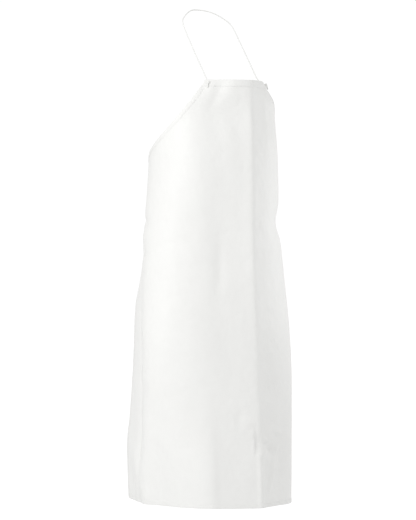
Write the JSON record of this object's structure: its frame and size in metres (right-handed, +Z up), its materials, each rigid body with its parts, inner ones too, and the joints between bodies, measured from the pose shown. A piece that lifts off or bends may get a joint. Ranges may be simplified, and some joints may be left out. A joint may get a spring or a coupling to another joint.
{
  "type": "butcher apron",
  "caption": "Long bib apron of smooth coated cloth with taped edges, a front crease, eyelets at bib and waist corners, and a neck cord loop, shaped as worn.",
  "frame": {"origin": "centre of the neck cord where it lies on the wearer's nape, at the mount neck_rest", "axes": "+Z up; the wearer faces -Y, and the wearer's right is -X; the apron hangs below the origin"},
  "size_m": [0.4658, 0.3312, 1.2956],
  "materials": {
    "coated_cloth": "smooth matte coating over fine woven cloth",
    "edge_tape": "matte coated tape, folded over the edge",
    "facing_cloth": "matte coated cloth, folded double",
    "patch_cloth": "matte coated cloth",
    "eyelet_plastic": "smooth white plastic",
    "cord_braid": "braided cord"
  },
  "bodies": {
    "apron": {"apron_panel": "coated_cloth", "bib_facing": "facing_cloth", "armhole_binding_right": "edge_tape", "armhole_binding_left": "edge_tape", "side_binding_right": "edge_tape", "side_binding_left": "edge_tape", "bottom_binding": "edge_tape", "waist_patch_right": "patch_cloth", "waist_patch_left": "patch_cloth", "bib_eyelet_right": "eyelet_plastic", "bib_eyelet_left": "eyelet_plastic", "bib_washer_right": "eyelet_plastic", "bib_washer_left": "eyelet_plastic", "waist_eyelet_right": "eyelet_plastic", "waist_eyelet_left": "eyelet_plastic", "waist_washer_right": "eyelet_plastic", "waist_washer_left": "eyelet_plastic", "neck_knot_right": "cord_braid", "neck_knot_left": "cord_braid"},
    "neck_loop": {"neck_cord": "cord_braid"}
  },
  "joints": [
    {"name": "neck_loop_lift", "type": "hinge", "parent": "apron", "child": "neck_loop", "pos_m": [0, -0.139, -0.186], "axis": [1, 0, 0], "range_deg": [0, 130]}
  ]
}
